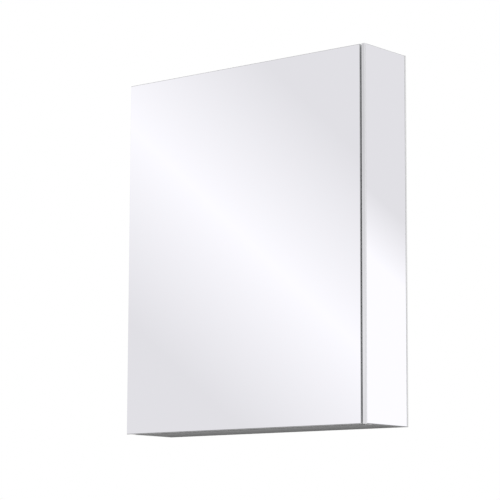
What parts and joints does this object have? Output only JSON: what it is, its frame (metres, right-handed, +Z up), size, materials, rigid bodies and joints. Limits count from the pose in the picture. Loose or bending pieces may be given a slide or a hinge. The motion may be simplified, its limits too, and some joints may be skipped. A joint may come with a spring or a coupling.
{
  "type": "bathroom mirror cabinet",
  "caption": "Wall-hung bathroom mirror cabinet: a full-front mirror door on a full-height hinge, mirrored sides, glass shelves and a push latch.",
  "frame": {"origin": "centre of the back face, in the plane of the wall and of the four wall screws", "axes": "+X to the right of someone facing the mirror, +Y into the wall, +Z up"},
  "size_m": [0.6, 0.135, 0.72],
  "materials": {
    "white_board": "white melamine on moisture-resistant board",
    "grey_board": "white melamine inside and grey lacquer outside, on moisture-resistant board",
    "grey_edging": "grey plastic edging",
    "dowel_wood": "plain beech",
    "white_panel": "white coated hardboard",
    "mirror_glass": "silvered float glass with ground edges",
    "foam_tape": "double-sided mirror tape",
    "satin_aluminium": "satin anodised",
    "stainless_steel": "brushed",
    "zinc_screw": "zinc plated",
    "clear_glass": "clear float glass with ground edges",
    "nickel_pin": "nickel plated",
    "grey_plastic": "moulded grey",
    "white_plastic": "moulded white",
    "magnet": "nickel-plated magnet",
    "spring_steel": "drawn spring wire",
    "clear_rubber": "clear soft stop",
    "zinc_plate": "zinc plated"
  },
  "bodies": {
    "cabinet": {"left_side_board": "white_board", "right_side_board": "white_board", "top_board": "grey_board", "bottom_board": "grey_board", "body_edge_bands": "grey_edging", "carcass_dowels": "dowel_wood", "back_panel": "white_panel", "back_panel_screws": "zinc_screw", "upper_hanging_rail": "white_board", "lower_hanging_rail": "white_board", "left_side_mirror": "mirror_glass", "right_side_mirror": "mirror_glass", "side_mirror_tape": "foam_tape", "closing_edge_profile": "satin_aluminium", "closing_edge_screws": "zinc_screw", "body_hinge_leaf": "stainless_steel", "hinge_pin": "stainless_steel", "body_hinge_screws": "zinc_screw", "upper_shelf": "clear_glass", "lower_shelf": "clear_glass", "upper_shelf_pins": "nickel_pin", "lower_shelf_pins": "nickel_pin", "latch_housing": "grey_plastic", "latch_rear_cap": "grey_plastic", "latch_spring": "spring_steel", "latch_screws": "zinc_screw"},
    "door": {"door_mirror": "mirror_glass", "door_mirror_tape": "foam_tape", "door_core": "white_board", "door_edge_bands": "grey_edging", "door_hinge_leaf": "stainless_steel", "door_hinge_screws": "zinc_screw", "door_bumpers": "clear_rubber", "strike_plate": "zinc_plate", "strike_plate_screws": "zinc_screw"},
    "plunger": {"latch_plunger": "white_plastic", "latch_magnet": "magnet"}
  },
  "joints": [
    {"name": "door_swing", "type": "hinge", "parent": "cabinet", "child": "door", "pos_m": [-0.2977, -0.1117, 0], "axis": [0, 0, -1], "range_deg": [0, 120]},
    {"name": "latch_press", "type": "slide", "parent": "cabinet", "child": "plunger", "axis": [0, 1, 0], "range_m": [0, 0.002], "stiffness_N_per_m": 1500, "springref_m": -0.002, "deforming": ["latch_spring"]}
  ]
}
